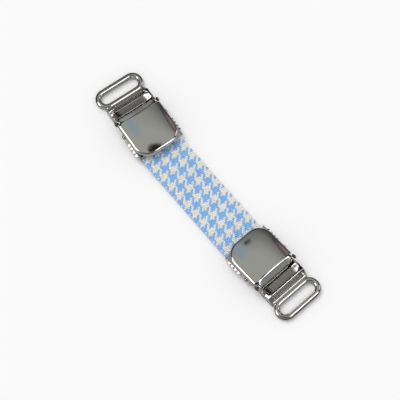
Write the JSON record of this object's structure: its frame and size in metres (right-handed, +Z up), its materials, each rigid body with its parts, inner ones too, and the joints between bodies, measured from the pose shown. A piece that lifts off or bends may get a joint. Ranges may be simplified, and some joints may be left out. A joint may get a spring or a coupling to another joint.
{
  "type": "shirt stay",
  "caption": "Short flat woven elastic strap with a hinged toothed metal clip at each end; each clip has a loop for webbing.",
  "frame": {"origin": "on the surface that the stay lies on, under the middle of its bounding box", "axes": "+X along the strap towards clip b, +Z up out of the surface through the clips' cover plates"},
  "size_m": [0.139, 0.0284, 0.0072],
  "materials": {
    "chrome": "bright nickel-chrome plating",
    "dark_chrome": "bright plating, darker",
    "steel": "plated spring steel",
    "webbing": "woven houndstooth elastic, light blue and cream"
  },
  "bodies": {
    "stay": {"base_a": "chrome", "hinge_pin_a": "dark_chrome", "jaw_a": "steel", "base_b": "chrome", "hinge_pin_b": "dark_chrome", "jaw_b": "steel", "strap": "webbing"},
    "lever_a": {"lever_a": "chrome"},
    "lever_b": {"lever_b": "chrome"}
  },
  "joints": [
    {"name": "lever_a_hinge", "type": "hinge", "parent": "stay", "child": "lever_a", "pos_m": [-0.04926, 0.00065, 0.0049], "axis": [-0.0958, -0.9954, 0], "range_deg": [0, 110]},
    {"name": "lever_b_hinge", "type": "hinge", "parent": "stay", "child": "lever_b", "pos_m": [0.04962, -0.00118, 0.0049], "axis": [-0.0349, 0.9994, 0], "range_deg": [0, 110]}
  ]
}
